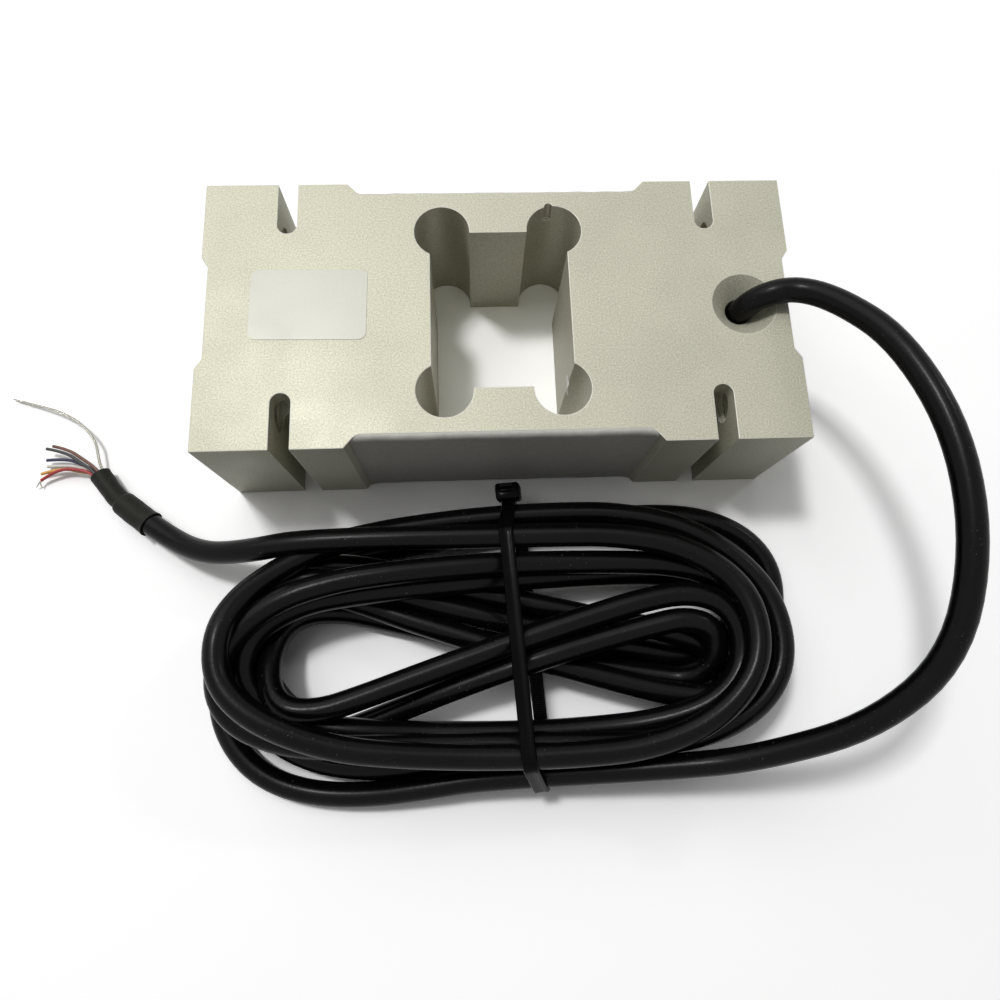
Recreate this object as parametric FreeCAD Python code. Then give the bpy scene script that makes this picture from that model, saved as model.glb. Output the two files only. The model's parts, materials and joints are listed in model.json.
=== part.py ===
import FreeCAD, Part
import math
import os

V = FreeCAD.Vector

# ---- driving dimensions, mm ----
LENGTH = 150.0          # elastic body along X
WIDTH = 72.0            # along Y
HEIGHT = 40.0           # along Z
SLOT_FROM_END = 21.0    # relief slot centre from the end face
SLOT_W = 5.0
SLOT_DEPTH = 14.3
PAD_X = 38.8            # inner edge of the mounting pads on the long faces
FRONT_RECESS = 3.4      # depth of the gauge recess in the front face
REAR_RECESS = 3.0
RECESS_SLOPE = 2.9      # run of the recess's sloped ends
RECESS_FILLET = 3.0
OPEN_HALF_X = 17.65     # central opening, middle part
OPEN_HALF_Y = 21.3
LOBE_R = 7.1            # the four corner lobes of the opening
LOBE_X = 14.5
LOBE_Y = 21.75
NOTCH_R = 1.1           # trimming notch on one lobe's rim
NOTCH_DEPTH = 6.0
END_RECESS = 1.7        # relief between the end pads
END_FLOOR_Y = 12.5
END_EDGE_Y = 15.0
HOLE_R = 4.5            # M10 thread at its pitch diameter
HOLE_CHAMFER = 0.8
HOLE_SPACING_Y = 48.0
HOLE_SPACING_Z = 22.0
CABLE_D = 6.2
CABLE_SIDES = 12
CORE_SIDES = 6
CABLE_FROM_END = 13.0   # cable bore axis from the end face
SINK_R = 8.3            # countersink at the top face
BORE_CLEAR = 0.4
BORE_DEPTH = 26.0
CABLE_DEPTH = 9.5       # cable end below the top face, in the sealant
PASSAGE_R = 1.75        # drilled wire passages to both gauge recesses
PASSAGE_X = 33.5
FRONT_COAT = 1.6        # sealing layer in the front recess
REAR_COAT = 0.6
COAT_LIFT = 0.2
GAUGE_LONG = 9.0
GAUGE_WIDE = 6.0
GAUGE_T = 0.15
LEAD_SHARE = 0.35        # radius of the gauge leads in the layer, as a share of it
LEAD_START = 1.5        # from the cable bore's axis
LEAD_BED = 0.1          # share of the layer under the leads
BOARD_X = 24.5
BOARD_SIZE = 7.0
LABEL_FROM_END = 27.0   # plate centre from the other end face
LABEL_Y = 1.65
LABEL_LONG = 29.0
LABEL_WIDE = 19.0
LABEL_T = 0.12
LABEL_TURN = -1.0
COIL_LEFT = 77.0        # cable coil: reach to the left and right of the middle
COIL_RIGHT = 78.0
COIL_WIDE = 76.5
COIL_GAP = 8.5          # from the front face to the coil
COIL_HIGH = 26.0
COIL_EDGE = 5.0         # bevel of its upper and lower rims
TIE_W = 3.6
TIE_T = 1.1
TIE_SUNK = 0.3          # how far the strap presses into the coil
TIE_X = 3.6
TIE_TURN = 4.1
SLEEVE_OUT_R = 3.5
SLEEVE_IN_R = 2.8
WIRE_D = 0.9
DRAIN_D = 0.75
STRAND_R = 0.25
WIRE_GRIP = 5.0         # length of wire held in the inner sleeve

HALF_X = LENGTH / 2
HALF_Y = WIDTH / 2
MID_Z = HEIGHT / 2
CABLE_R = CABLE_D / 2
BORE_R = CABLE_R + BORE_CLEAR
FRONT_FLOOR = -HALF_Y + FRONT_RECESS
REAR_FLOOR = HALF_Y - REAR_RECESS
SLOT_X = HALF_X - SLOT_FROM_END
CABLE_X = HALF_X - CABLE_FROM_END
LABEL_X = LABEL_FROM_END - HALF_X


def prism(points, z0, z1):
    wire = Part.makePolygon([V(x, y, z0) for x, y in points + points[:1]])
    return Part.Face(wire).extrude(V(0, 0, z1 - z0))


def block(x0, x1, y0, y1, z0, z1):
    return Part.makeBox(x1 - x0, y1 - y0, z1 - z0, V(x0, y0, z0))


def upright(r, h, x, y, z):
    return Part.makeCylinder(r, h, V(x, y, z))


def soften(solid, r, picked):
    edges = [e for e in solid.Edges if len(e.Vertexes) == 2 and picked(e)]
    return solid.makeFillet(r, edges)


def corner_edge(e, points):
    a, b = e.Vertexes[0].Point, e.Vertexes[1].Point
    if math.hypot(a.x - b.x, a.y - b.y) > 1e-4:
        return False
    return any(math.hypot(a.x - x, a.y - y) < 1e-3 for x, y in points)


def tube(name, points, radius, sides):
    """Tube along straight runs joined by tangent arcs, its section a polygon of the circle's area."""
    pts = [V(*p) for p in points]
    turn_step = 2 * math.pi / sides
    across = radius * math.sqrt(2 * math.pi / (sides * math.sin(turn_step)))
    ring = [V(across * math.cos(i * turn_step), across * math.sin(i * turn_step), 0) for i in range(sides)]
    section = Part.Face(Part.makePolygon(ring + ring[:1]))
    section.Placement = FreeCAD.Placement(pts[0], FreeCAD.Rotation(V(0, 0, 1), pts[1] - pts[0]))
    pieces, start, radii, length = [], pts[0], [], 0.0
    for before, here, after in zip(pts, pts[1:], pts[2:]):
        u = (here - before).normalize()
        w = (after - here).normalize()
        turn = u.getAngle(w)
        reach = 0.45 * min(here.distanceToPoint(before), here.distanceToPoint(after))
        bend_r = reach / math.tan(turn / 2)
        bend_start = here - u * reach
        run = bend_start - start
        axis = u.cross(w).normalize()
        pivot = bend_start + axis.cross(u) * bend_r
        pieces.append(section.extrude(run))
        section.translate(run)
        pieces.append(section.revolve(pivot, axis, math.degrees(turn)))
        section.rotate(pivot, axis, math.degrees(turn))
        radii.append(round(bend_r, 1))
        length += run.Length + bend_r * turn
        start = here + w * reach
    pieces.append(section.extrude(pts[-1] - start))
    length += start.distanceToPoint(pts[-1])
    solid = pieces[0].multiFuse(pieces[1:]).Solids[0] if len(pieces) > 1 else pieces[0]
    ratio = solid.Volume / (math.pi * radius * radius * length)
    print(name, "length", round(length, 1), "radii", radii, "volume ratio", round(ratio, 4))
    return solid


# ---- elastic body: one machined block ----
body = block(-HALF_X, HALF_X, -HALF_Y, HALF_Y, 0, HEIGHT)

for side in (-1, 1):
    for face in (-1, 1):
        inner_y = face * (HALF_Y - SLOT_DEPTH + SLOT_W / 2)
        outer_y = face * (HALF_Y + 1)
        low, high = sorted((inner_y, outer_y))
        centre = side * SLOT_X
        body = body.cut(block(centre - SLOT_W / 2, centre + SLOT_W / 2, low, high, 0, HEIGHT))
        body = body.cut(upright(SLOT_W / 2, HEIGHT, centre, inner_y, 0))


def recess_cutter(face, depth, z0, z1, reach):
    floor = face * (HALF_Y - depth)
    rim = face * (HALF_Y + reach)
    slope = RECESS_SLOPE * (depth + reach) / depth
    points = [(-PAD_X - slope + RECESS_SLOPE, rim), (PAD_X + slope - RECESS_SLOPE, rim),
              (PAD_X - RECESS_SLOPE, floor), (-PAD_X + RECESS_SLOPE, floor)]
    return soften(prism(points, z0, z1), RECESS_FILLET, lambda e: corner_edge(e, points[2:]))


body = body.cut(recess_cutter(-1, FRONT_RECESS, 0, HEIGHT, 1.0))
body = body.cut(recess_cutter(1, REAR_RECESS, 0, HEIGHT, 1.0))

for side in (-1, 1):
    floor = side * (HALF_X - END_RECESS)
    rim = side * (HALF_X + 1)
    flare = END_EDGE_Y + (END_EDGE_Y - END_FLOOR_Y) / END_RECESS
    points = [(rim, -flare), (rim, flare), (floor, END_FLOOR_Y), (floor, -END_FLOOR_Y)]
    relief = prism(points, 0, HEIGHT)
    body = body.cut(soften(relief, 1.5, lambda e: corner_edge(e, points[2:])))

opening = block(-OPEN_HALF_X, OPEN_HALF_X, -OPEN_HALF_Y, OPEN_HALF_Y, 0, HEIGHT)
for sx in (-1, 1):
    for sy in (-1, 1):
        opening = opening.fuse(upright(LOBE_R, HEIGHT, sx * LOBE_X, sy * LOBE_Y, 0))
notch_y = LOBE_Y + LOBE_R - NOTCH_R / 4
opening = opening.fuse(upright(NOTCH_R, NOTCH_DEPTH, LOBE_X - NOTCH_R, notch_y, HEIGHT - NOTCH_DEPTH))
body = body.cut(opening.removeSplitter())

for side in (-1, 1):
    for sy in (-1, 1):
        for sz in (-1, 1):
            y = sy * HOLE_SPACING_Y / 2
            z = MID_Z + sz * HOLE_SPACING_Z / 2
            mouth = V(side * HALF_X, y, z)
            inward = V(-side, 0, 0)
            body = body.cut(Part.makeCylinder(HOLE_R, HALF_X - SLOT_X, mouth, inward))
            cone = Part.makeCone(HOLE_R + HOLE_CHAMFER, HOLE_R, HOLE_CHAMFER, mouth, inward)
            body = body.cut(cone)

sink_depth = SINK_R - BORE_R
body = body.cut(upright(BORE_R, BORE_DEPTH, CABLE_X, 0, HEIGHT - BORE_DEPTH))
body = body.cut(Part.makeCone(BORE_R, SINK_R, sink_depth, V(CABLE_X, 0, HEIGHT - sink_depth)))

passages = {}
for name, floor in (("front", FRONT_FLOOR), ("rear", REAR_FLOOR)):
    start = V(CABLE_X, 0, MID_Z)
    way = V(PASSAGE_X, floor, MID_Z) - start
    span = way.Length + PASSAGE_R
    body = body.cut(Part.makeCylinder(PASSAGE_R, span, start, way))
    passages[name] = (start, V(way).normalize(), way.Length)

# ---- gauges, boards and leads in the two recesses ----
nodes = {}
inner = {"front": [], "rear": []}


def seat(face, floor, x0, x1, z0, z1, thick):
    low, high = sorted((floor, floor + face * thick))
    return block(x0, x1, low, high, z0, z1)


for name, face, floor, coat in (("front", -1, FRONT_FLOOR, FRONT_COAT), ("rear", 1, REAR_FLOOR, REAR_COAT)):
    for label, side in (("left", -1), ("right", 1)):
        x = side * LOBE_X
        gauge = seat(face, floor, x - GAUGE_LONG / 2, x + GAUGE_LONG / 2,
                     MID_Z - GAUGE_WIDE / 2, MID_Z + GAUGE_WIDE / 2, GAUGE_T)
        nodes["strain_gauge_%s_%s" % (name, label)] = gauge
        inner[name].append(gauge)
    board_t = coat * 0.55
    board_x0 = BOARD_X - BOARD_SIZE / 2
    board_x1 = BOARD_X + BOARD_SIZE / 2
    board = seat(face, floor, board_x0, board_x1, MID_Z - BOARD_SIZE / 2, MID_Z + BOARD_SIZE / 2, board_t)
    nodes["terminal_board_%s" % name] = board
    inner[name].append(board)
    start, way, length = passages[name]
    lead_r = coat * LEAD_SHARE
    lead_y = floor + face * (lead_r + coat * LEAD_BED)
    knee = start + way * (length * abs(lead_y / floor))
    route = [tuple(start + way * LEAD_START), tuple(knee), (board_x1, lead_y, MID_Z)]
    leads = tube("gauge_leads_%s" % name, route, lead_r, CORE_SIDES)
    nodes["gauge_leads_%s" % name] = leads
    inner[name].append(leads)

resistor_x = BOARD_X - BOARD_SIZE / 2 - 2.2
resistor_z = MID_Z + 4.5
resistor_t = FRONT_COAT * 0.5
resistor = seat(-1, FRONT_FLOOR, resistor_x - 0.8, resistor_x + 0.8, resistor_z, resistor_z + 3.2, resistor_t)
nodes["compensation_resistor"] = resistor
inner["front"].append(resistor)

for node, name, face, depth, coat in (("front_gauge_sealant", "front", -1, FRONT_RECESS, FRONT_COAT),
                                      ("rear_gauge_coating", "rear", 1, REAR_RECESS, REAR_COAT)):
    whole = recess_cutter(face, depth, COAT_LIFT, HEIGHT, 0.0)
    floor = face * (HALF_Y - depth)
    keep = seat(face, floor, -PAD_X, PAD_X, COAT_LIFT, HEIGHT, coat)
    layer = whole.common(keep)
    for piece in inner[name]:
        layer = layer.cut(piece)
    nodes[node] = layer

plug_top = HEIGHT - CABLE_DEPTH
plug_bottom = HEIGHT - BORE_DEPTH
plug = upright(BORE_R, plug_top - plug_bottom, CABLE_X, 0, plug_bottom)
plug = plug.cut(nodes["gauge_leads_front"]).cut(nodes["gauge_leads_rear"])
nodes["cable_bore_sealant"] = plug

# ---- rating plate, bare ----
plate = block(-LABEL_LONG / 2, LABEL_LONG / 2, -LABEL_WIDE / 2, LABEL_WIDE / 2, 0, LABEL_T)
corners = [(sx * LABEL_LONG / 2, sy * LABEL_WIDE / 2) for sx in (-1, 1) for sy in (-1, 1)]
plate = soften(plate, 2.0, lambda e: corner_edge(e, corners))
plate.rotate(V(0, 0, 0), V(0, 0, 1), LABEL_TURN)
plate.translate(V(LABEL_X, LABEL_Y, HEIGHT))
nodes["rating_plate"] = plate

# ---- cable: lead, coil, tail ----
coil_rear = -HALF_Y - COIL_GAP
coil_front = coil_rear - COIL_WIDE
coil_r = COIL_WIDE / 2
exit_x = CABLE_X
exit_z = HEIGHT
lead_route = [
    (exit_x, 0.0, plug_top),
    (exit_x, 0.0, exit_z - 3.0),
    (exit_x + 4.5, 1.0, exit_z + 3.2),
    (exit_x + 12.5, 1.6, exit_z + 4.4),
    (exit_x + 20.5, -4.0, exit_z + 9.0),
    (exit_x + 28.5, -17.5, exit_z + 16.0),
    (exit_x + 35.5, coil_rear + 3.5, exit_z + 20.0),
    (exit_x + 38.0, coil_rear - 21.5, exit_z + 17.8),
    (COIL_RIGHT + 17.5, coil_rear - 44.5, COIL_HIGH + 24.0),
    (COIL_RIGHT + 2.5, coil_front + 16.5, COIL_HIGH + 12.0),
    (COIL_RIGHT - 18.0, coil_front + 9.5, COIL_HIGH - 2.0),
    (COIL_RIGHT - 34.0, coil_front + 7.0, COIL_HIGH - 9.2),
]
lead = tube("cable_lead", lead_route, CABLE_R, CABLE_SIDES)
tail_route = [
    (-COIL_LEFT + 25.0, coil_rear - 8.0, COIL_HIGH - 10.5),
    (-COIL_LEFT + 11.0, coil_rear - 10.0, COIL_HIGH - 13.0),
    (-COIL_LEFT - 3.0, coil_rear - 10.0, COIL_HIGH - 17.0),
    (-COIL_LEFT - 15.0, coil_rear - 5.2, 5.6),
    (-COIL_LEFT - 24.5, coil_rear + 1.8, 4.3),
]
tail = tube("cable_tail", tail_route, CABLE_R, CABLE_SIDES)

straight_l = -COIL_LEFT + coil_r
straight_r = COIL_RIGHT - coil_r
mid_y = (coil_rear + coil_front) / 2
coil = block(straight_l, straight_r, coil_front, coil_rear, 0, COIL_HIGH)
coil = coil.fuse(upright(coil_r, COIL_HIGH, straight_l, mid_y, 0))
coil = coil.fuse(upright(coil_r, COIL_HIGH, straight_r, mid_y, 0)).removeSplitter()
coil = coil.makeChamfer(COIL_EDGE, [e for e in coil.Edges if abs(e.BoundBox.ZMax - e.BoundBox.ZMin) < 1e-6])


def tie_outline(grow, base):
    edge = COIL_EDGE + grow * (2 - math.sqrt(2))
    y0 = coil_front - grow
    y1 = coil_rear + grow
    z1 = COIL_HIGH + grow
    half = block(TIE_X - TIE_W / 2, TIE_X + TIE_W / 2, y0, y1, base, z1)
    picked = [e for e in half.Edges if abs(e.BoundBox.XMax - e.BoundBox.XMin - TIE_W) < 1e-6]
    return half.makeChamfer(edge, picked)


strap = tie_outline(TIE_T - TIE_SUNK, 0.0).cut(tie_outline(-TIE_SUNK, TIE_T))
head = block(TIE_X - 3.2, TIE_X + 3.2, coil_rear + 0.3, coil_rear + 5.6, 11.5, 16.5)
head = head.makeChamfer(0.6, head.Edges)
stub = block(TIE_X - TIE_W / 2, TIE_X + TIE_W / 2, coil_rear + 1.6, coil_rear + 2.7, 16.0, 17.8)
tie = strap.fuse(head).fuse(stub).removeSplitter()
tie.rotate(V(TIE_X, mid_y, 0), V(0, 0, 1), TIE_TURN)
coil = coil.cut(tie).cut(lead).cut(tail)

# ---- cable end: two sleeves, six cores and the drain wire ----
end = V(*tail_route[-1])
into = V(*tail_route[-2])
back = (end - into).normalize()
mouth = end + V(-11.8, 12.0, -0.9)
bend = end + V(-6.3, 5.0, -0.5)
grip = (mouth - bend).normalize()
aside = V(grip.y, -grip.x, 0).normalize()
above = aside.cross(grip)
inner_tube = tube("inner_sleeve", [tuple(end), tuple(bend), tuple(mouth)], SLEEVE_IN_R, CABLE_SIDES)
outer_tube = Part.makeCylinder(SLEEVE_OUT_R, 11.4, end - back * 5.2, back)
outer_tube = outer_tube.cut(tail).cut(inner_tube)
hold = Part.makeCylinder(1.65, WIRE_GRIP + 1.0, mouth - grip * WIRE_GRIP, grip)
nodes["inner_sleeve"] = inner_tube.cut(hold).cut(tail)
nodes["outer_sleeve"] = outer_tube

CORES = {
    "wire_brown": (0.5, 0.95, [(-5.2, 4.8, 0.6), (-9.7, 7.8, 0.0), (-14.3, 9.0, -0.4)]),
    "wire_black": (-0.5, 0.95, [(-5.7, 3.7, 0.6), (-10.2, 6.9, 0.4), (-15.9, 8.2, -0.2)]),
    "wire_blue": (0.0, 0.0, [(-6.0, 3.6, -0.6), (-10.7, 5.4, -1.0), (-16.1, 5.1, -1.3)]),
    "wire_white": (0.5, -0.95, [(-4.9, 2.2, -1.7), (-10.2, 3.8, -1.9), (-16.2, 3.5, -2.2)]),
    "wire_yellow": (-0.5, -0.95, [(-5.7, 1.2, -1.1), (-11.7, 2.8, -1.2), (-17.4, 1.2, -1.7)]),
    "wire_red": (-1.05, 0.0, [(-6.7, 2.0, 0.1), (-12.7, 1.9, -0.3), (-17.0, -0.8, -1.3)]),
}
for node, (across, up, fan) in CORES.items():
    shift = aside * across + above * up
    first = mouth - grip * WIRE_GRIP + shift
    second = mouth + grip * 1.2 + shift
    route = [tuple(first), tuple(second)] + [tuple(mouth + V(*p)) for p in fan]
    nodes[node] = tube(node, route, WIRE_D / 2, CORE_SIDES)

shift = aside * 1.05
drain_fan = [(-0.3, 5.3, 0.4), (-1.7, 10.3, 0.6), (-6.7, 15.5, 0.2),
             (-13.7, 19.6, -0.8), (-20.7, 22.0, -1.9), (-28.5, 24.4, -2.7)]
route = [tuple(mouth - grip * WIRE_GRIP + shift), tuple(mouth + grip * 1.2 + shift)]
route += [tuple(mouth + V(*p)) for p in drain_fan]
nodes["drain_wire"] = tube("drain_wire", route, DRAIN_D / 2, CORE_SIDES)

red_tip = mouth + V(-17.0, -0.8, -1.3)
strands = []
for spread in ((-1.8, -1.7, -1.3), (-0.2, -1.8, -1.3)):
    strands.append(tube("strand", [tuple(red_tip), tuple(red_tip + V(*spread))], STRAND_R, CORE_SIDES))
strands = strands[0].fuse(strands[1]).cut(nodes["wire_red"]).removeSplitter()
nodes["bare_strands"] = strands

nodes["elastic_body"] = body.removeSplitter()
nodes["cable_lead"] = lead
nodes["cable_coil"] = coil
nodes["cable_tail"] = tail
nodes["cable_tie"] = tie

os.makedirs("parts", exist_ok=True)
for name, shape in nodes.items():
    shape.exportStep("parts/%s.step" % name)
    bb = shape.BoundBox
    print(name, "solids", len(shape.Solids), "valid", shape.isValid(), "volume", round(shape.Volume, 1),
          [round(v, 1) for v in (bb.XMin, bb.XMax, bb.YMin, bb.YMax, bb.ZMin, bb.ZMax)])
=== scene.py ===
"""Looks of the single point load cell: the camera, its coiled cable, the stripped end, finishes and light."""
import json
import math

import bpy
import numpy as np
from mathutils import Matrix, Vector


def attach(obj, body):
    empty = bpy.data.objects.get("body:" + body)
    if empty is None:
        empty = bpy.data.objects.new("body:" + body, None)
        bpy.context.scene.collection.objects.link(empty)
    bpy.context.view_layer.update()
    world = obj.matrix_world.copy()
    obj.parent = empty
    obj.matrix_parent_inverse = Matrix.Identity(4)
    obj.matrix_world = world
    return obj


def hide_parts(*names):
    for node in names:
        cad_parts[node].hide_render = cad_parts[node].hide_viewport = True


MM = 0.001
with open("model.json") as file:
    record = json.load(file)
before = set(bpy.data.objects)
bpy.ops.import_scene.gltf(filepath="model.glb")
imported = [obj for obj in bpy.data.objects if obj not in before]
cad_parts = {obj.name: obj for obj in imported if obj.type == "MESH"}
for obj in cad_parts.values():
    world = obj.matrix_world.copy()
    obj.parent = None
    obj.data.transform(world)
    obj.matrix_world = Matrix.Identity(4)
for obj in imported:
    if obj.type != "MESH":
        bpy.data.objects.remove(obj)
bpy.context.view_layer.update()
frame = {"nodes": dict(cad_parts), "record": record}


def metres(point):
    """A point in millimetres as a vector in metres."""
    return Vector(point) * MM


# ---- camera ----
camera = bpy.data.objects.new("camera", bpy.data.cameras.new("camera"))
bpy.context.scene.collection.objects.link(camera)
bpy.context.scene.camera = camera
camera.location = metres((-8.679, -88.536, 207.575))
camera.rotation_euler = (0.24729, -0.0324, -0.035342)
camera.data.sensor_width = 36.0
camera.data.lens = 26.436
camera.data.shift_x = -0.0005
camera.data.shift_y = -0.0131
camera.data.clip_start = 0.005
camera.data.clip_end = 20.0

# ---- sizes, mm ----
TIE_X = 2.3
TIE_W = 3.6
TIE_T = 1.1
TIE_TURN = math.radians(3.8)
TIE_LEAN = 5.0          # how far the strap under the coil lies to the right of the strap over it
SLEEVE_OUT_R = 3.5
SLEEVE_IN_R = 2.8
WIRE_D = 0.9
COAT_GAP = 0.02         # keeps touching surfaces from sharing one plane
# one twisted wire run: radius it is wound at, wire radius, pitch, wires
DRAIN_TWIST = (0.22, 0.2, 3.2, 4)
STRAND_TWIST = (0.11, 0.12, 2.2, 3)

# ---- cable: one spline from the body, round the coil, to the stripped end ----
CABLE_D = 6.2
LEAD = [
    (62.0, 0.0, 30.5), (62.0, 0.0, 37.0), (66.5, 1.0, 43.2), (74.5, 1.6, 44.4),
    (81.8, -4.4, 49.0), (90.1, -17.8, 56.0), (96.8, -41.0, 59.8), (97.7, -66.0, 58.0),
    (93.5, -89.3, 50.2), (80.0, -103.4, 38.0), (60.2, -110.3, 24.2), (44.2, -112.8, 17.0),
]
TAIL = [
    (-52.0, -54.3, 21.0), (-66.0, -56.0, 17.3), (-80.0, -55.5, 11.0), (-92.0, -49.7, 5.8), (-101.5, -42.7, 4.3),
]
# Each run crosses the coil from one end to the other: its y and its height at the left, the
# middle and the right of the coil, how far the end after it reaches, and how much that end
# leans towards this run.
STATIONS = (-50.0, 0.0, 50.0)
RUNS = [
    ((-120.0, -113.6, -108.5), (3.1, 9.0, 18.0), -77.0, 0.0),
    ((-56.0, -50.5, -44.5), (3.1, 3.1, 4.0), 74.0, 0.22),
    ((-113.0, -111.5, -110.0), (4.0, 4.0, 4.0), -72.0, 0.0),
    ((-57.0, -70.5, -81.0), (9.0, 8.0, 9.5), 58.0, 0.0),
    ((-103.0, -105.0, -103.0), (3.1, 3.1, 3.1), -66.0, 0.0),
    ((-64.0, -83.0, -98.0), (6.5, 8.0, 9.5), 66.5, 0.0),
    ((-69.0, -65.0, -64.0), (14.0, 10.0, 6.0), -68.5, 0.0),
    ((-100.0, -104.0, -102.0), (11.0, 9.0, 12.0), 60.0, 0.0),
    ((-98.0, -81.8, -68.0), (17.0, 17.0, 18.0), -62.5, 0.0),
    ((-69.0, -82.0, -93.0), (3.1, 3.1, 6.0), 55.0, 0.0),
    ((-106.0, -88.0, -76.0), (6.0, 12.0, 17.0), -71.5, 0.0),
    ((-61.0, -75.0, -87.0), (12.0, 8.0, 3.1), 62.0, 0.0),
    ((-66.0, -61.5, -63.0), (16.5, 15.0, 16.0), -72.5, -0.08),
    ((-105.0, -106.0, -107.0), (13.5, 14.5, 15.0), 70.5, 0.08),
    ((-55.0, -48.0, -50.0), (13.0, 13.0, 15.0), -70.5, -0.08),
    ((-104.0, -108.5, -106.0), (25.0, 21.0, 24.0), 62.0, 0.0),
    ((-55.5, -54.6, -56.0), (23.0, 20.5, 22.0), -60.0, 0.0),
]
POINTS_A_HALF_TURN = 14
FINE = 4
BEND_SHARE = 1.5        # how far along the coil an end bends, as a share of half its width
SQUARENESS = 0.9
SETTLE_STEPS = 500
HOLD = 0.01
SMOOTH = 2
STRAP_LIFT = 14.0       # how far along the coil the strap under it lifts the bottom turns


def along(values, x):
    """The parabola through a run's three values, at x, held level beyond its ends."""
    left, middle, right = STATIONS
    x = min(max(x, left - 12.0), right + 10.0)
    a = (x - middle) * (x - right) / ((left - middle) * (left - right))
    b = (x - left) * (x - right) / ((middle - left) * (middle - right))
    c = (x - left) * (x - middle) / ((right - left) * (right - middle))
    return a * values[0] + b * values[1] + c * values[2]


def half_turn(y_in, z_in, reach, lean, y_out, z_out):
    """From the middle of one run, round an end of the coil, to the middle of the next run."""
    half = abs(along(y_in, reach * 0.8) - along(y_out, reach * 0.8)) / 2.0
    bend = min(BEND_SHARE * half, abs(reach))
    straight = abs(reach) - bend
    bent = 1.6 * (bend + half) / 2.0
    limit = bent / (bent + straight)
    points = []
    steps = POINTS_A_HALF_TURN * FINE
    for step in range(steps):
        way = 2.0 * (step + 0.5) / steps - 1.0
        angle = math.pi / 2.0 * min(max(way / limit, -1.0), 1.0)
        out = straight * min((1.0 - abs(way)) / max(1.0 - limit, 1e-6), 1.0)
        leaning = -lean * bend * math.sin(angle) * math.cos(angle)
        x = math.copysign(out + bend * math.cos(angle) ** SQUARENESS + leaning, reach)
        turned = math.copysign(abs(math.sin(angle)) ** SQUARENESS, angle)
        share = (1.0 + turned) / 2.0
        y = (1.0 - share) * along(y_in, x) + share * along(y_out, x)
        z = (1.0 - share) * along(z_in, x) + share * along(z_out, x)
        points.append((x, y, z))
    return points


def wound_points():
    """The coil's turns as planned, from the lead to the tail, FINE times finer than the spline."""
    points = []
    for (y_in, z_in, reach, lean), (y_out, z_out, *_) in zip(RUNS, RUNS[1:]):
        points += half_turn(y_in, z_in, reach, lean, y_out, z_out)
    return np.array(points)


def settled(wound):
    """The turns after they come to rest on the floor and on each other, a diameter apart."""
    apart = CABLE_D * 1.01
    count = len(wound)
    index = np.arange(count)
    i, j = np.nonzero(index[:, None] + 4 * FINE < index[None])
    plan = np.linalg.norm(wound[i, :2] - wound[j, :2], axis=1)
    close = plan < 2.0 * apart
    i, j = i[close], j[close]
    order = np.sign(wound[i, 2] - wound[j, 2] + 1e-6)
    shift = np.zeros_like(wound)
    under = (TIE_T + 0.1) * np.exp(-((wound[:, 0] - TIE_X - TIE_LEAN) / STRAP_LIFT) ** 2)
    for _ in range(SETTLE_STEPS):
        now = wound + shift
        gap = now[i] - now[j]
        flat = np.linalg.norm(gap[:, :2], axis=1)
        over = (flat < 0.8 * apart) | (order * gap[:, 2] < 0)
        short = np.where(over, np.sqrt(np.maximum(apart ** 2 - flat ** 2, 0.0)) - order * gap[:, 2],
                         apart - np.linalg.norm(gap, axis=1))
        way = gap / np.maximum(np.linalg.norm(gap, axis=1), 1e-6)[:, None]
        way[over] = 0.0
        way[over, 2] = order[over]
        hit = short > 0
        push = way[hit] * short[hit, None] * 0.5
        move = np.zeros_like(now)
        hits = np.ones(count)
        np.add.at(move, i[hit], push)
        np.add.at(move, j[hit], -push)
        np.add.at(hits, i[hit], 1)
        np.add.at(hits, j[hit], 1)
        shift += move / hits[:, None] * 2.0
        shift *= 1.0 - HOLD
        for _ in range(SMOOTH):
            shift[1:-1] += 0.25 * (shift[:-2] + shift[2:] - 2.0 * shift[1:-1])
        shift[:2] = 0.0
        shift[-2:] = 0.0
        shift[:, 2] = np.maximum(shift[:, 2], CABLE_D / 2 + 0.02 + under - wound[:, 2])
    return wound + shift


def coil_points():
    """The coil's control points for the spline."""
    return settled(wound_points())[FINE // 2::FINE]


# ---- curves and tubes ----
def spline(name, points, diameter, sides=8, smooth=3):
    """One open NURBS curve with these points in millimetres as its control points."""
    data = bpy.data.curves.new(name, "CURVE")
    data.dimensions = "3D"
    line = data.splines.new("NURBS")
    line.points.add(len(points) - 1)
    for knot, point in zip(line.points, points):
        knot.co = (*metres(point), 1.0)
        knot.radius = diameter * MM / 2
    line.order_u = 3
    line.use_endpoint_u = True
    data.resolution_u = smooth
    piece = bpy.data.objects.new(name, data)
    bpy.context.scene.collection.objects.link(piece)
    bpy.context.view_layer.update()
    centre = centreline(piece)
    data.bevel_depth = 1.0      # times each point's radius
    data.bevel_resolution = sides
    data.use_fill_caps = True
    line.use_smooth = True
    return piece, centre


def centreline(piece):
    """The points of a curve that has no bevel yet, in order."""
    mesh = bpy.data.meshes.new_from_object(piece)
    points = [vertex.co.copy() for vertex in mesh.vertices]
    bpy.data.meshes.remove(mesh)
    return points


def mesh_piece(name, vertices, faces, smooth=True):
    """A mesh object of these points, in metres, and faces."""
    mesh = bpy.data.meshes.new(name)
    mesh.from_pydata([tuple(v) for v in vertices], [], faces)
    mesh.validate()
    mesh.update()
    for face in mesh.polygons:
        face.use_smooth = smooth
    piece = bpy.data.objects.new(name, mesh)
    bpy.context.scene.collection.objects.link(piece)
    return piece


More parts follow.
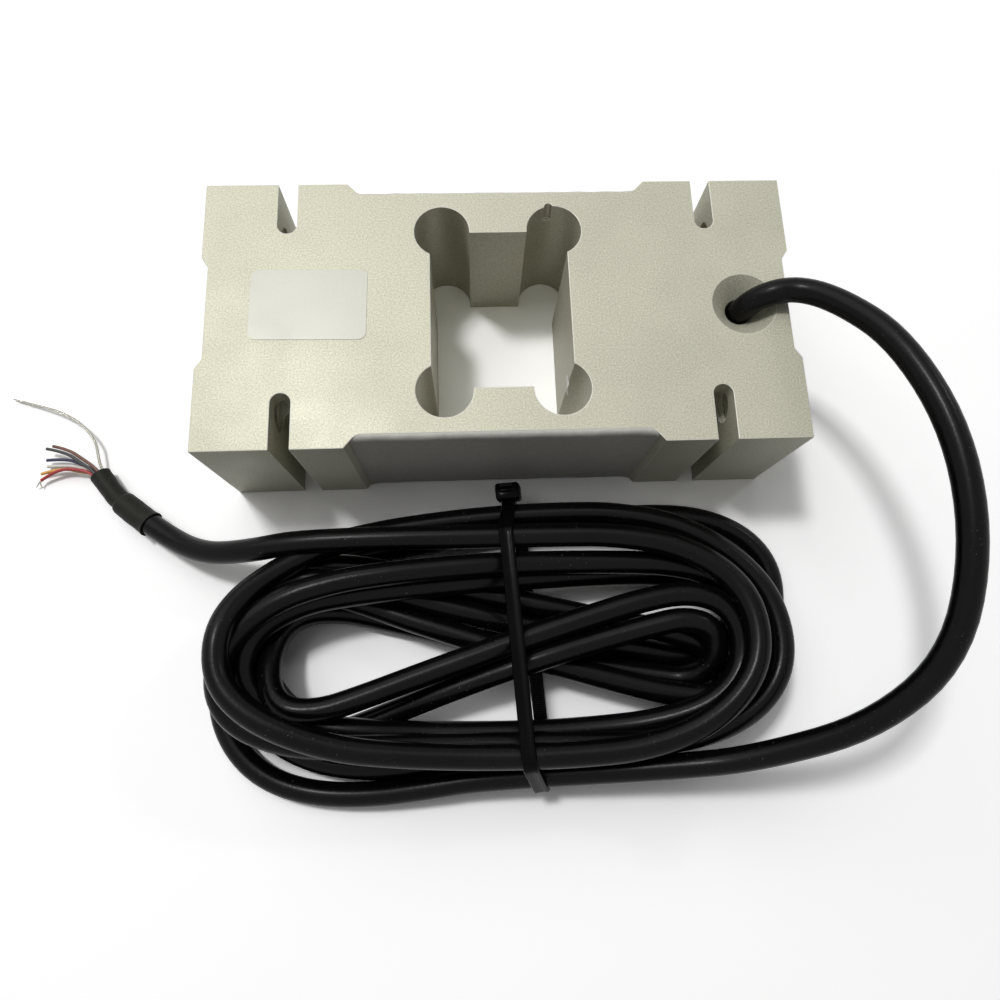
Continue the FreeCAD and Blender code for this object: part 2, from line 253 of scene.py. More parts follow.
def frames_along(path):
    """A point, a side and an up direction at each point of a path, turning as little as it can."""
    frames = []
    side = None
    for at, point in enumerate(path):
        ahead = path[min(at + 1, len(path) - 1)] - path[max(at - 1, 0)]
        ahead.normalize()
        if side is None:
            side = ahead.orthogonal().normalized()
        side = (side - ahead * side.dot(ahead)).normalized()
        frames.append((point, side, ahead.cross(side)))
    return frames


def closed_grid(rings, count):
    """Faces of a tube of rings with count points each, capped at both ends."""
    faces = []
    for ring in range(rings - 1):
        for step in range(count):
            a = ring * count + step
            b = ring * count + (step + 1) % count
            faces.append((a, b, b + count, a + count))
    faces.append(tuple(reversed(range(count))))
    faces.append(tuple(range((rings - 1) * count, rings * count)))
    return faces


def round_tube(name, path, radii, sides=20):
    """A tube round a path, in metres, with its own radius at each point."""
    vertices = []
    for (point, side, up), radius in zip(frames_along(path), radii):
        for step in range(sides):
            angle = 2.0 * math.pi * step / sides
            vertices.append(point + (side * math.cos(angle) + up * math.sin(angle)) * radius)
    return mesh_piece(name, vertices, closed_grid(len(path), sides))


def resampled(path, count):
    """The same path with count points evenly spaced along it."""
    lengths = [0.0]
    for a, b in zip(path, path[1:]):
        lengths.append(lengths[-1] + (b - a).length)
    even = np.linspace(0.0, lengths[-1], count)
    axes = [np.interp(even, lengths, [point[axis] for point in path]) for axis in range(3)]
    return [Vector(point) for point in zip(*axes)]


def joined(name, pieces):
    """One mesh piece made of several, which go."""
    vertices, faces = [], []
    for piece in pieces:
        start = len(vertices)
        vertices += [vertex.co.copy() for vertex in piece.data.vertices]
        faces += [[start + corner for corner in face.vertices] for face in piece.data.polygons]
        mesh = piece.data
        bpy.data.objects.remove(piece)
        bpy.data.meshes.remove(mesh)
    return mesh_piece(name, vertices, faces)


def sharp_edges(piece, degrees=35.0):
    """Smooth shading that stays crisp at edges sharper than this."""
    piece.data.set_sharp_from_angle(angle=math.radians(degrees))


def sleeve(name, guide, stations, sides=32, ripple=0.0):
    """A tube of revolution round a guide line: rings at (distance along it, radius), in millimetres."""
    frames = frames_along(guide)
    lengths = [0.0]
    for a, b in zip(guide, guide[1:]):
        lengths.append(lengths[-1] + (b - a).length / MM)
    vertices = []
    for distance, radius in stations:
        at = min(max(int(np.searchsorted(lengths, distance)) - 1, 0), len(guide) - 2)
        share = (distance - lengths[at]) / (lengths[at + 1] - lengths[at])
        point = frames[at][0].lerp(frames[at + 1][0], share)
        side = frames[at][1].lerp(frames[at + 1][1], min(max(share, 0.0), 1.0)).normalized()
        up = frames[at][2].lerp(frames[at + 1][2], min(max(share, 0.0), 1.0)).normalized()
        for step in range(sides):
            angle = 2.0 * math.pi * step / sides
            wave = math.sin(2.0 * angle + 0.9 * distance) + 0.6 * math.sin(3.0 * angle - 1.7 * distance)
            reach = (radius + ripple * wave) * MM
            vertices.append(point + (side * math.cos(angle) + up * math.sin(angle)) * reach)
    piece = mesh_piece(name, vertices, closed_grid(len(stations), sides))
    sharp_edges(piece)
    return piece


def stacked(name, outlines):
    """A solid of stacked outlines of equal count, each a list of points in metres, capped at both ends."""
    vertices = [point for outline in outlines for point in outline]
    piece = mesh_piece(name, vertices, closed_grid(len(outlines), len(outlines[0])))
    sharp_edges(piece)
    return piece


# ---- the cable and the tie round its coil ----
turns = [tuple(float(v) for v in point) for point in coil_points()]
cable, cable_line = spline("cable", LEAD + turns + TAIL, CABLE_D, sides=9, smooth=6)

COIL_Y = -82.75
LEAN_TOP = 22.0
ACROSS = Vector((math.cos(TIE_TURN), math.sin(TIE_TURN), 0.0))
REARWARD = Vector((-math.sin(TIE_TURN), math.cos(TIE_TURN), 0.0))
UPWARD = Vector((0.0, 0.0, 1.0))
TIE_MIDDLE = Vector((TIE_X, COIL_Y, 0.0))


def tie_lean(height):
    """How far the tie's plane has moved across at a height."""
    return TIE_LEAN * (1.0 - height / LEAN_TOP)


def tie_point(across, rearward, height):
    """A point of the tie's own frame, in millimetres, as a point in metres."""
    sideways = across + tie_lean(height)
    return (TIE_MIDDLE + ACROSS * sideways + REARWARD * rearward + UPWARD * height) * MM


def crossings(line):
    """Where the cable goes through the tie's plane: how far rearward of the coil's middle, and how high."""
    found = []
    for a, b in zip(line, line[1:]):
        from_a = (a / MM - TIE_MIDDLE).dot(ACROSS) - tie_lean(a.z / MM)
        from_b = (b / MM - TIE_MIDDLE).dot(ACROSS) - tie_lean(b.z / MM)
        if from_a * from_b < 0.0:
            point = a.lerp(b, from_a / (from_a - from_b)) / MM
            found.append(((point - TIE_MIDDLE).dot(REARWARD), point.z))
    return found


def outline_round(circles, radius, steps=40):
    """The tight loop round circles in a plane: a convex outline, anticlockwise."""
    points = set()
    for x, y in circles:
        for step in range(steps):
            angle = 2.0 * math.pi * step / steps
            points.add((x + radius * math.cos(angle), y + radius * math.sin(angle)))

    def chain(ordered):
        kept = []
        for p in ordered:
            while len(kept) > 1:
                (ax, ay), (bx, by) = kept[-2], kept[-1]
                if (bx - ax) * (p[1] - ay) - (by - ay) * (p[0] - ax) > 0.0:
                    break
                kept.pop()
            kept.append(p)
        return kept[:-1]

    return chain(sorted(points)) + chain(sorted(points, reverse=True))


def evenly(outline, spacing):
    """A closed outline's points, spaced evenly."""
    closed = np.array(outline + outline[:1])
    lengths = np.concatenate([[0.0], np.cumsum(np.linalg.norm(np.diff(closed, axis=0), axis=1))])
    count = int(lengths[-1] / spacing) // 4 * 4
    even = np.arange(count) * lengths[-1] / count
    return np.stack([np.interp(even, lengths, closed[:, 0]), np.interp(even, lengths, closed[:, 1])], axis=1)


RIB_STEP = 0.3          # a quarter of the strap's tooth pitch
RIB_DEEP = 0.3


def tie_strap():
    """The strap drawn tight round the cable where it crosses the tie's plane, ribbed inside."""
    loop = evenly(outline_round(crossings(cable_line), CABLE_D / 2 + COAT_GAP), RIB_STEP)
    count = len(loop)
    wide = TIE_W / 2
    vertices = []
    for at in range(count):
        ahead = loop[(at + 2) % count] - loop[at - 2]
        ahead = ahead / np.linalg.norm(ahead)
        out = np.array([ahead[1], -ahead[0]])
        rib = RIB_DEEP if at % 4 < 2 else 0.0
        section = [(-wide, 0.1), (-wide + 0.1, 0.0), (-wide + 0.55, 0.0), (-wide + 0.6, rib),
                   (wide - 0.6, rib), (wide - 0.55, 0.0), (wide - 0.1, 0.0), (wide, 0.1),
                   (wide, TIE_T - 0.25), (wide - 0.25, TIE_T), (wide - 0.7, TIE_T),
                   (wide - 0.9, TIE_T - 0.1), (-wide + 0.9, TIE_T - 0.1), (-wide + 0.7, TIE_T),
                   (-wide + 0.25, TIE_T), (-wide, TIE_T - 0.25)]
        for across, height in section:
            rearward, up = loop[at] + out * height
            vertices.append(tie_point(across, rearward, max(up, 0.03)))
    sides = 16
    faces = [(at * sides + k, at * sides + (k + 1) % sides,
              (at + 1) % count * sides + (k + 1) % sides, (at + 1) % count * sides + k)
             for at in range(count) for k in range(sides)]
    strap = mesh_piece("strap", vertices, faces)
    sharp_edges(strap, 40.0)
    return strap


def slab(low, high, height, corner):
    """A rectangle with cut corners in the tie's frame: (across, rearward) corners, at one height."""
    (x0, y0), (x1, y1) = low, high
    plan = [(x0 + corner, y0), (x1 - corner, y0), (x1, y0 + corner), (x1, y1 - corner),
            (x1 - corner, y1), (x0 + corner, y1), (x0, y1 - corner), (x0, y0 + corner)]
    return [tie_point(across, rearward, height) for across, rearward in plan]


HEAD_FRONT = 38.7       # the ratchet head, from the coil's middle
HEAD_REAR = 43.7
HEAD_LOW = 11.5
HEAD_HIGH = 16.5
HEAD_HALF = 3.2


def tie_head():
    """The ratchet head with its tongue, grips and the strap's cut stub."""
    def ring(inset, height, corner=0.5):
        return slab((-HEAD_HALF + inset, HEAD_FRONT + inset), (HEAD_HALF - inset, HEAD_REAR - inset), height, corner)

    shell = stacked("head", [
        ring(0.7, HEAD_LOW), ring(0.2, HEAD_LOW + 0.3), ring(0.0, HEAD_LOW + 1.0), ring(0.0, HEAD_HIGH - 1.2),
        ring(0.25, HEAD_HIGH - 0.3), ring(0.55, HEAD_HIGH),
    ])
    middle = HEAD_REAR - 0.5
    stub = stacked("stub", [
        slab((-TIE_W / 2, middle - 1.2), (TIE_W / 2, middle - 0.1), HEAD_HIGH - 2.0, 0.15),
        slab((-TIE_W / 2, middle - 1.2), (TIE_W / 2, middle - 0.1), HEAD_HIGH + 0.95, 0.15),
        slab((-TIE_W / 2 + 0.2, middle - 1.1), (TIE_W / 2 - 0.1, middle - 0.2), HEAD_HIGH + 1.25, 0.15),
    ])
    tongue = stacked("tongue", [
        slab((-2.0, HEAD_FRONT + 0.9), (2.0, middle - 1.9), HEAD_HIGH - 0.2, 0.3),
        slab((-2.0, HEAD_FRONT + 0.9), (2.0, middle - 1.9), HEAD_HIGH + 0.12, 0.3),
        slab((-1.8, HEAD_FRONT + 1.1), (1.8, middle - 2.1), HEAD_HIGH + 0.22, 0.3),
    ])
    grips = []
    for side in (-1, 1):
        for rib in range(3):
            low = HEAD_LOW + 1.3 + 0.95 * rib
            inner, outer = sorted((side * (HEAD_HALF - 0.2), side * (HEAD_HALF + 0.14)))
            corners = ((inner, HEAD_FRONT + 0.9), (outer, HEAD_REAR - 0.9))
            grips.append(stacked("grip", [slab(*corners, low, 0.1), slab(*corners, low + 0.4, 0.1)]))
    return [shell, stub, tongue] + grips


tie = joined("cable_tie_band", [tie_strap()] + tie_head())
sharp_edges(tie, 40.0)

# ---- the stripped end ----
END = Vector(TAIL[-1])
MOUTH = END + Vector((-11.8, 12.0, -0.9))
BEND = END + Vector((-6.3, 5.0, -0.5))
GRIP = (MOUTH - BEND).normalized()
ASIDE = Vector((GRIP.y, -GRIP.x, 0.0)).normalized()
ABOVE = ASIDE.cross(GRIP)
HELD = 5.0              # length of wire inside the sleeve


def guide_line(points, smooth=10):
    """The centreline of a smooth curve with these control points, which isn't kept."""
    guide, line = spline("guide", points, 1.0, smooth=smooth)
    data = guide.data
    bpy.data.objects.remove(guide)
    bpy.data.curves.remove(data)
    return line


sleeve_line = guide_line([TAIL[-3], TAIL[-2], tuple(END), tuple(BEND), tuple(MOUTH - GRIP * 4.0), tuple(MOUTH)])
to_end = min(range(len(sleeve_line)), key=lambda at: (sleeve_line[at] - END * MM).length)
end_at = sum((b - a).length for a, b in zip(sleeve_line[:to_end], sleeve_line[1:to_end + 1])) / MM
mouth_at = sum((b - a).length for a, b in zip(sleeve_line, sleeve_line[1:])) / MM

outer_from = end_at - 5.2
outer_to = outer_from + 11.4
outer_rings = [(outer_from + 0.6, 3.13), (outer_from + 0.05, 3.18), (outer_from, 3.3), (outer_from, 3.62),
               (outer_from + 0.1, 3.7), (outer_from + 0.45, 3.66), (outer_from + 0.9, 3.55)]
outer_rings += [(outer_from + 1.5 + 0.9 * step, SLEEVE_OUT_R) for step in range(9)]
outer_rings += [(outer_to - 1.2, SLEEVE_OUT_R), (outer_to - 0.7, 3.44), (outer_to - 0.3, 3.32), (outer_to - 0.08, 3.14),
                (outer_to, 2.95), (outer_to - 0.05, 2.7)]
outer_sleeve = sleeve("sleeve_outer", sleeve_line, outer_rings, ripple=0.035)

inner_rings = [(end_at - 0.5 + 0.9 * step, SLEEVE_IN_R) for step in range(int((mouth_at - end_at - 0.6) / 0.9))]
inner_rings += [(mouth_at - 0.7, 2.82), (mouth_at - 0.3, 2.88), (mouth_at - 0.08, 2.9), (mouth_at, 2.84),
                (mouth_at, 2.5), (mouth_at - 0.1, 2.4), (mouth_at - 1.5, 2.3), (mouth_at - 3.5, 2.2)]
inner_sleeve = sleeve("sleeve_inner", sleeve_line, inner_rings, ripple=0.05)

CORES = {
    "brown": (0.5, 0.95, [(-5.2, 4.8, 0.6), (-9.7, 7.8, 0.0), (-14.3, 9.0, -0.4)]),
    "black": (-0.5, 0.95, [(-5.7, 3.7, 0.6), (-10.2, 6.9, 0.4), (-15.9, 8.2, -0.2)]),
    "blue": (0.0, 0.0, [(-6.0, 3.6, -0.6), (-10.7, 5.4, -1.0), (-16.1, 5.1, -1.3)]),
    "white": (0.5, -0.95, [(-4.9, 2.2, -1.7), (-10.2, 3.8, -1.9), (-16.2, 3.5, -2.2)]),
    "yellow": (-0.5, -0.95, [(-5.7, 1.2, -1.1), (-11.7, 2.8, -1.2), (-17.4, 1.2, -1.7)]),
    "red": (-1.05, 0.0, [(-6.7, 2.0, 0.1), (-12.7, 1.9, -0.3), (-17.0, -0.8, -1.3)]),
}
cores = {}
for colour, (across, up, fan) in CORES.items():
    shift = ASIDE * across + ABOVE * up
    route = [MOUTH - GRIP * HELD + shift, MOUTH + GRIP * 1.2 + shift] + [MOUTH + Vector(step) for step in fan]
    core, core_line = spline("core_" + colour, [tuple(point) for point in route], WIRE_D, sides=6, smooth=10)
    cores[colour] = core
    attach(core, "root")
    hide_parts("wire_" + colour)


def twisted(name, line, radius, wire, pitch, count, spacing=0.22):
    """Wires twisted round a line: millimetres, with the twist closing towards the far end."""
    total = sum((b - a).length for a, b in zip(line, line[1:])) / MM
    frames = frames_along(resampled(line, int(total / spacing)))
    wires = []
    for strand in range(count):
        last = len(frames) - 1 - strand * min(7, len(frames) // 8)
        path, radii = [], []
        for at, (point, side, up) in enumerate(frames[:last + 1]):
            angle = 2.0 * math.pi * (strand / count + at * spacing / pitch)
            open_share = 1.0 - 0.55 * (at / last) ** 3
            path.append(point + (side * math.cos(angle) + up * math.sin(angle)) * radius * open_share * MM)
            radii.append(wire * MM)
        wires.append(round_tube("strand", path, radii, sides=8))
    return joined(name, wires)


DRAIN_FAN = [(-0.9, 5.3, 0.4), (-2.0, 10.1, 0.6), (-6.7, 15.5, 0.2),
             (-13.7, 19.6, -0.8), (-20.7, 22.0, -1.9), (-28.5, 24.4, -2.7)]
drain_start = [MOUTH - GRIP * HELD + ASIDE * 1.05, MOUTH + GRIP * 1.2 + ASIDE * 1.05]
drain_line = guide_line([tuple(point) for point in drain_start + [MOUTH + Vector(step) for step in DRAIN_FAN]])
drain = twisted("drain_twist", drain_line, *DRAIN_TWIST)

red_tip = MOUTH + Vector(CORES["red"][2][-1])
strand_pieces = []
for spread, bow in (((-1.8, -1.7, -1.3), (-0.1, -0.25, 0.35)), ((-0.2, -1.8, -1.3), (-0.3, -0.2, 0.3))):
    knee = red_tip + Vector(spread) * 0.5 + Vector(bow)
    line = guide_line([tuple(red_tip - Vector((-0.6, -0.4, 0.0))), tuple(red_tip), tuple(knee),
                       tuple(red_tip + Vector(spread))])
    strand_pieces.append(twisted("strands", line, *STRAND_TWIST))
bare = joined("bare_strand_ends", strand_pieces)

# ---- threads in the eight mounting holes ----
HOLE_R = 4.5
THREAD_CREST = 4.06
THREAD_PITCH = 1.5
THREAD_FROM = 0.9
THREAD_TO = 17.6
HALF_LENGTH = 75.0
THREAD_STEPS = 40       # per turn


def hole_thread(side, y, z):
    """One thread's helix in the wall of a mounting hole in the end face on this side."""
    steps = int((THREAD_TO - THREAD_FROM) / THREAD_PITCH * THREAD_STEPS)
    vertices = []
    for step in range(steps + 1):
        angle = 2.0 * math.pi * step / THREAD_STEPS
        depth = THREAD_FROM + THREAD_PITCH * step / THREAD_STEPS
        ease = min(step, steps - step, THREAD_STEPS // 3) / (THREAD_STEPS // 3)
        crest = HOLE_R - (HOLE_R - THREAD_CREST) * ease
        for along_axis, radius in ((-0.6, HOLE_R + 0.03), (-0.12, crest), (0.12, crest), (0.6, HOLE_R + 0.03)):
            vertices.append(metres((side * (HALF_LENGTH - depth - along_axis),
                                    y + radius * math.cos(angle), z + radius * math.sin(angle))))
    return mesh_piece("thread", vertices, closed_grid(steps + 1, 4))


threads = joined("hole_threads", [hole_thread(side, y, z)
                                  for side in (-1, 1) for y in (-24.0, 24.0) for z in (9.0, 31.0)])
sharp_edges(threads, 30.0)

# ---- sealing layers, the fillet in the cable bore, a burr ----
COAT_HALF = 37.25
COAT_LOW = 0.25
COAT_SHOULDER = 37.55   # where the layer's face starts to round over
COAT_LIP = 2.4
COAT_ROWS = 30


def coat(name, face, floor, thick):
    """A poured layer in a gauge recess: rounded over at its top, drawn up at its ends, slightly wavy."""
    rows = [(COAT_LOW + (COAT_SHOULDER - COAT_LOW) * step / COAT_ROWS, 0.0) for step in range(COAT_ROWS + 1)]
    for turn in range(15, 91, 15):
        bent = math.radians(turn)
        rows.append((COAT_SHOULDER + COAT_LIP * math.sin(bent), thick * 0.9 * (1.0 - math.cos(bent))))
    columns = [COAT_HALF * math.sin(math.radians(turn)) for turn in np.linspace(-90.0, 90.0, 81)]
    front, back = [], []
    for height, setback in rows:
        for x in columns:
            drawn_up = 0.45 * math.exp(-(COAT_HALF - abs(x)) / 0.8)
            wave = 0.035 * (math.sin(0.31 * x + 0.22 * height) + math.sin(0.83 * x - 0.41 * height + 1.0))
            wave += 0.05 * math.sin(0.9 * x + 0.5) * max(height - 36.0, 0.0) / 4.0
            front.append(metres((x, face * (floor + thick - setback + drawn_up + wave), height)))
            back.append(metres((x, face * (floor + 0.01), height)))
    wide, high = len(columns), len(rows)
    count = wide * high
    faces = []
    for row in range(high - 1):
        for column in range(wide - 1):
            a = row * wide + column
            faces.append((a, a + 1, a + wide + 1, a + wide)[::-face])
            faces.append((count + a, count + a + wide, count + a + wide + 1, count + a + 1)[::-face])
    rim = list(range(wide)) + [row * wide + wide - 1 for row in range(1, high)]
    rim += list(range(count - 2, count - wide - 1, -1)) + [row * wide for row in range(high - 2, 0, -1)]
    for a, b in zip(rim, rim[1:] + rim[:1]):
        faces.append((a, count + a, count + b, b)[::-face])
    piece = mesh_piece(name, front + back, faces)
    sharp_edges(piece, 50.0)
    return piece


front_coat = coat("front_sealant_layer", -1, 32.6, 1.6)
rear_coat = coat("rear_coating_layer", 1, 33.0, 0.6)
bore_line = [metres((62.0, 0.0, z)) for z in (14.0, 20.0, 26.0, 33.0)]
bore_fill = sleeve("bore_sealant", bore_line, [
    (0.05, 3.3), (0.3, 3.49), (8.0, 3.49), (16.9, 3.49), (17.2, 3.42), (17.1, 3.32), (17.3, 3.22), (17.9, 3.12),
    (17.9, 2.9), (16.6, 2.8),
])
burr_line = guide_line([(15.9, -18.4, 39.4), (15.3, -19.6, 40.1), (15.9, -21.0, 40.3), (15.1, -22.2, 40.1),
                        (15.6, -23.6, 39.3)])
burr_radii = [MM * (0.12 + 0.2 * abs(math.sin(1.9 * at)) * math.sin(math.pi * at / (len(burr_line) - 1)))
              for at in range(len(burr_line))]
burr = round_tube("edge_burr", burr_line, burr_radii, sides=7)

# ---- what each piece rides on and stands for ----
for piece in (cable, tie, outer_sleeve, inner_sleeve, drain, bare, threads, front_coat, rear_coat, bore_fill, burr):
    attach(piece, "root")
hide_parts("front_gauge_sealant")
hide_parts("rear_gauge_coating")
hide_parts("cable_bore_sealant")
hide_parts("cable_lead", "cable_coil", "cable_tail")
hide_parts("cable_tie")
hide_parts("outer_sleeve")
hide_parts("inner_sleeve")
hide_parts("drain_wire")
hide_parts("bare_strands")

# ---- finishes ----


def put(tree, socket, value):
    """Links a node's output to a socket, or sets the socket's own value."""
    if isinstance(value, bpy.types.NodeSocket):
        tree.links.new(value, socket)
    elif isinstance(value, tuple) and socket.type == "RGBA":
        socket.default_value = (*value, 1.0)
    else:
        socket.default_value = value


def node(tree, kind, inputs=(), **settings):
    """A new shader node with its settings and inputs."""
    made = tree.nodes.new("ShaderNode" + kind)
    for key, value in settings.items():
        setattr(made, key, value)
    for key, value in dict(inputs).items():
        put(tree, made.inputs[key], value)
    return made


def sums(tree, operation, a, b=0.0):
    return node(tree, "Math", {0: a, 1: b}, operation=operation, use_clamp=True).outputs[0]


def mixed(tree, share, a, b):
    return node(tree, "Mix", {0: share, 6: a, 7: b}, data_type="RGBA").outputs[2]


def between(tree, value, low, high, to_low=0.0, to_high=1.0):
    """A value spread from one range to another, held inside it."""
    return node(tree, "MapRange", {0: value, 1: low, 2: high, 3: to_low, 4: to_high}).outputs[0]


def noise(tree, scale, detail=3.0, stretch=(1.0, 1.0, 1.0)):
    place = node(tree, "TexCoord").outputs["Object"]
    placed = node(tree, "Mapping", {"Vector": place, "Scale": stretch}).outputs[0]
    return node(tree, "TexNoise", {"Vector": placed, "Scale": scale, "Detail": detail}).outputs[0]


def finish(name, dark, light, rough, metal=0.0, specular=0.5, grain=1500.0, patches=60.0,
           patch_share=0.4, relief=0.00002, relief_scale=1500.0, edge_wear_and_highlight=None, edge_wide=0.0004,
           specks=None, speck_share=0.0):
    """A finish in two tones with grain, patches, relief, and where asked dust and lightened edges, which are partly
    wear and partly a painted highlight.
    """
    made = bpy.data.materials.new(name)
    made.use_nodes = True
    tree = made.node_tree
    shader = tree.nodes["Principled BSDF"]
    shader.inputs["Metallic"].default_value = metal
    shader.inputs["Specular IOR Level"].default_value = specular
    fine = noise(tree, grain, 2.0)
    broad = noise(tree, patches, 3.0)
    tone = sums(tree, "ADD", between(tree, fine, 0.3, 0.7, 0.0, 1.0 - patch_share),
                between(tree, broad, 0.35, 0.65, 0.0, patch_share))
    colour = mixed(tree, tone, dark, light)
    height = noise(tree, relief_scale, 4.0)
    if specks:
        dust = between(tree, noise(tree, 2200.0, 1.0), 0.74, 0.78)
        patchy = between(tree, noise(tree, 90.0, 2.0), 0.45, 0.65)
        dusty = sums(tree, "MULTIPLY", sums(tree, "MULTIPLY", dust, patchy), speck_share)
        colour = mixed(tree, dusty, colour, specks)
    # edges are lightened towards the edge colour: partly wear, partly a painted highlight along the edge line
    if edge_wear_and_highlight:
        rounded = node(tree, "Bevel", {"Radius": edge_wide}, samples=8).outputs[0]
        flat = node(tree, "NewGeometry").outputs["Normal"]
        bent = node(tree, "VectorMath", {0: rounded, 1: flat}, operation="DOT_PRODUCT").outputs["Value"]
        wear_and_highlight = between(tree, bent, 0.99, 0.9)
        colour = mixed(tree, wear_and_highlight, colour, edge_wear_and_highlight)
        bump = node(tree, "Bump", {"Height": height, "Distance": relief, "Normal": rounded})
    else:
        bump = node(tree, "Bump", {"Height": height, "Distance": relief})
    put(tree, shader.inputs["Base Color"], colour)
    put(tree, shader.inputs["Roughness"], between(tree, broad, 0.3, 0.7, rough * 0.88, rough * 1.12))
    put(tree, shader.inputs["Normal"], bump.outputs[0])
    return made


# the edge colours given here are partly wear and partly a painted highlight along edges
FINISHES = {
    "machined_aluminium": finish("anodised_aluminium", (0.4, 0.39, 0.307), (0.65, 0.632, 0.505), 0.5, metal=0.25,
                                 specular=0.3, grain=2500.0, patch_share=0.15, relief=0.00003,
                                 relief_scale=2600.0, edge_wear_and_highlight=(0.9, 0.89, 0.82)),
    "grey_sealant": finish("grey_sealant", (0.58, 0.57, 0.52), (0.7, 0.685, 0.63), 0.5, specular=0.3,
                           grain=700.0, relief=0.0002, relief_scale=220.0),
    "dark_sealant": finish("dark_sealant", (0.035, 0.035, 0.033), (0.06, 0.06, 0.055), 0.5, grain=600.0,
                           relief=0.0002, relief_scale=300.0),
    "gauge_foil": finish("gauge_foil", (0.5, 0.28, 0.08), (0.68, 0.42, 0.15), 0.35, grain=3000.0),
    "board_laminate": finish("board_laminate", (0.48, 0.39, 0.16), (0.6, 0.5, 0.24), 0.5, grain=2500.0),
    "resistor_body": finish("resistor_body", (0.08, 0.08, 0.08), (0.12, 0.12, 0.12), 0.5, grain=2500.0),
    "lead_copper": finish("lead_enamel", (0.6, 0.28, 0.14), (0.75, 0.4, 0.22), 0.35, grain=1800.0),
    "plate_film": finish("plate_film", (0.52, 0.515, 0.45), (0.57, 0.565, 0.5), 0.4, metal=0.15, specular=0.3,
                         grain=4000.0, relief=0.00001, relief_scale=900.0, edge_wear_and_highlight=(0.85, 0.85, 0.8),
                         edge_wide=0.0001),
    "cable_jacket": finish("cable_jacket", (0.001, 0.001, 0.0012), (0.003, 0.003, 0.0032), 0.26, specular=0.11,
                           grain=900.0, relief=0.00003, relief_scale=900.0, specks=(0.3, 0.3, 0.28),
                           speck_share=0.5),
    "tie_nylon": finish("tie_nylon", (0.001, 0.001, 0.0012), (0.003, 0.003, 0.0033), 0.22, specular=0.045,
                        grain=1200.0, relief=0.00002, relief_scale=500.0),
    "shrink_sleeve": finish("shrink_sleeve", (0.013, 0.013, 0.011), (0.022, 0.022, 0.018), 0.5, specular=0.1,
                            grain=1800.0, relief=0.00006, relief_scale=700.0, specks=(0.2, 0.2, 0.18),
                            speck_share=0.3),
    "core_brown": finish("core_brown", (0.13, 0.05, 0.03), (0.2, 0.085, 0.05), 0.35, grain=900.0),
    "core_black": finish("core_black", (0.02, 0.02, 0.02), (0.04, 0.04, 0.04), 0.35, grain=900.0),
    "core_blue": finish("core_blue", (0.01, 0.012, 0.045), (0.02, 0.025, 0.08), 0.35, grain=900.0),
    "core_white": finish("core_white", (0.72, 0.71, 0.66), (0.85, 0.85, 0.82), 0.35, grain=900.0),
    "core_yellow": finish("core_yellow", (0.72, 0.34, 0.06), (0.85, 0.48, 0.12), 0.35, grain=900.0),
    "core_red": finish("core_red", (0.4, 0.02, 0.022), (0.5, 0.04, 0.045), 0.32, grain=900.0),
    "tinned_strand": finish("tinned_strand", (0.26, 0.25, 0.22), (0.5, 0.49, 0.43), 0.3, metal=1.0,
                            grain=2500.0),
}
for part in frame["record"]["subparts"]:
    carried = frame["nodes"][part["node"]]
    for holder in carried.material_slots:
        holder.link = "OBJECT"
        holder.material = FINISHES[part["material_slot"]]
for piece, slot in ((cable, "cable_jacket"), (tie, "tie_nylon"), (outer_sleeve, "shrink_sleeve"),
                    (inner_sleeve, "shrink_sleeve"), (drain, "tinned_strand"), (bare, "tinned_strand"),
                    (threads, "machined_aluminium"), (front_coat, "grey_sealant"), (rear_coat, "grey_sealant"),
                    (bore_fill, "dark_sealant"), (burr, "grey_sealant")):
    piece.data.materials.append(FINISHES[slot])
for colour, core in cores.items():
    core.data.materials.append(FINISHES["core_" + colour])

# ---- floor, lamps and world ----


def shown(tree):
    """1 for what the camera sees, straight, mirrored or through glass, and 0 for what lights the object."""
    path = node(tree, "LightPath").outputs
    mirrored = sums(tree, "MAXIMUM", path["Is Camera Ray"], path["Is Glossy Ray"])
    return sums(tree, "MAXIMUM", mirrored, path["Is Transmission Ray"])


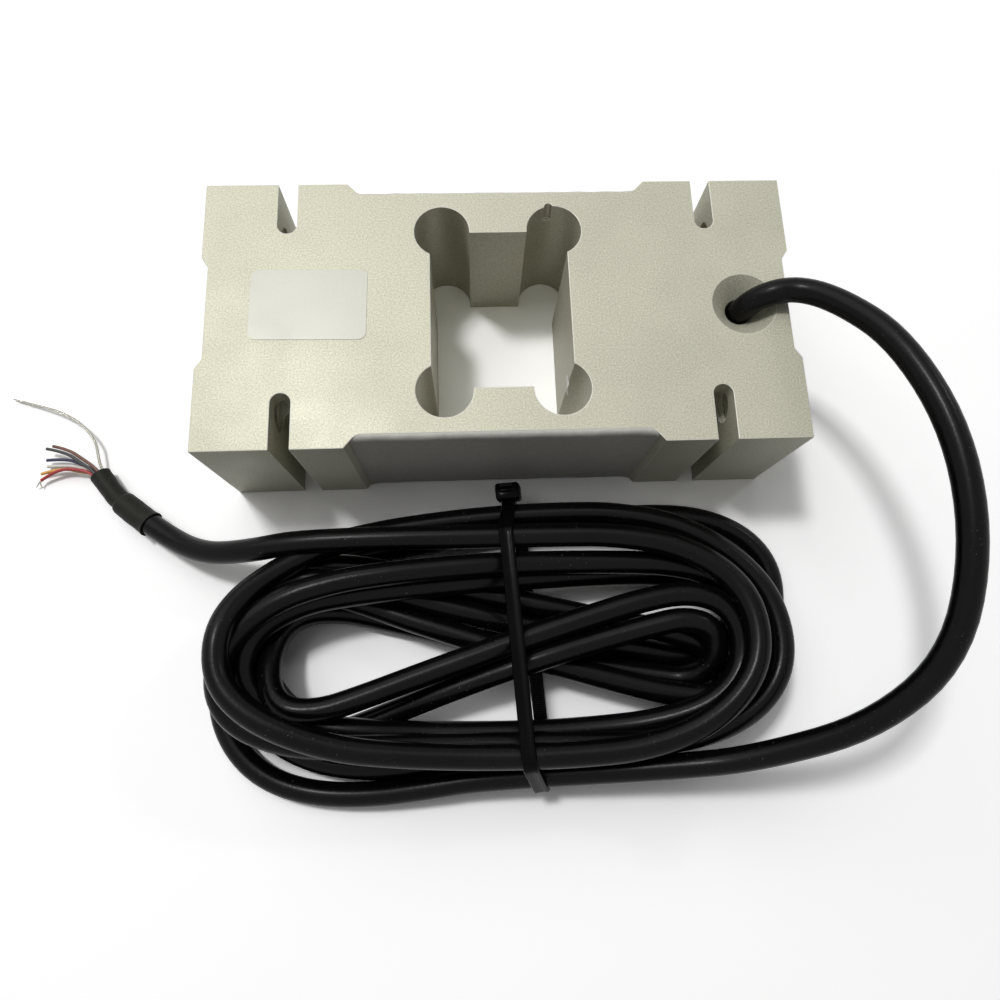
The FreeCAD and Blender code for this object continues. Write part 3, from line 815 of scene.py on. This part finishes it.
FLOOR_HALF = 3000.0
floor = mesh_piece("floor", [metres((FLOOR_HALF * x, FLOOR_HALF * y, 0.0))
                             for x, y in ((-1, -1), (1, -1), (1, 1), (-1, 1))], [(0, 1, 2, 3)], smooth=False)
pale = bpy.data.materials.new("floor_paper")
pale.use_nodes = True
paper = pale.node_tree
paper.nodes.clear()
paper_tone = mixed(paper, shown(paper), (0.3, 0.3, 0.305), (1.38, 1.38, 1.38))
paper_face = node(paper, "BsdfDiffuse", {"Color": paper_tone})
# far from the part, beyond its shadow, what is shown of the floor is plain white
away = node(paper, "VectorMath", {0: node(paper, "TexCoord").outputs["Object"]}, operation="LENGTH").outputs["Value"]
far = sums(paper, "MULTIPLY", between(paper, away, 0.35, 0.75, 0.0, 1.0), shown(paper))
paper_white = node(paper, "Emission", {"Color": (1.0, 1.0, 1.0), "Strength": 1.0})
paper_mix = node(paper, "MixShader", {0: far, 1: paper_face.outputs[0], 2: paper_white.outputs[0]})
paper.links.new(paper_mix.outputs[0], node(paper, "OutputMaterial").inputs["Surface"])
floor.data.materials.append(pale)


def lamp(name, place, aim, size, power):
    """A soft square lamp: place and aim in metres, size in metres, power in watts."""
    light = bpy.data.lights.new(name, "AREA")
    light.size = size
    light.energy = power
    made = bpy.data.objects.new(name, light)
    made.location = place
    made.rotation_euler = (Vector(aim) - Vector(place)).to_track_quat("-Z", "Y").to_euler()
    bpy.context.scene.collection.objects.link(made)


lamp("key", (-0.42, 0.4, 1.4), (0.0, -0.03, 0.02), 0.2, 8.5)
lamp("soft", (-0.65, 0.8, 1.5), (0.0, 0.0, 0.02), 1.8, 14.0)
lamp("side", (0.8, 0.5, 0.75), (0.03, -0.02, 0.03), 0.12, 0.7)
world = bpy.data.worlds.new("studio")
bpy.context.scene.world = world
world.use_nodes = True
sky = world.node_tree
sky.nodes["Background"].inputs["Color"].default_value = (1.0, 1.0, 1.0, 1.0)
put(sky, sky.nodes["Background"].inputs["Strength"], between(sky, shown(sky), 0.0, 1.0, 0.12, 1.0))
bpy.context.scene.view_settings.view_transform = "Standard"
bpy.context.view_layer.update()
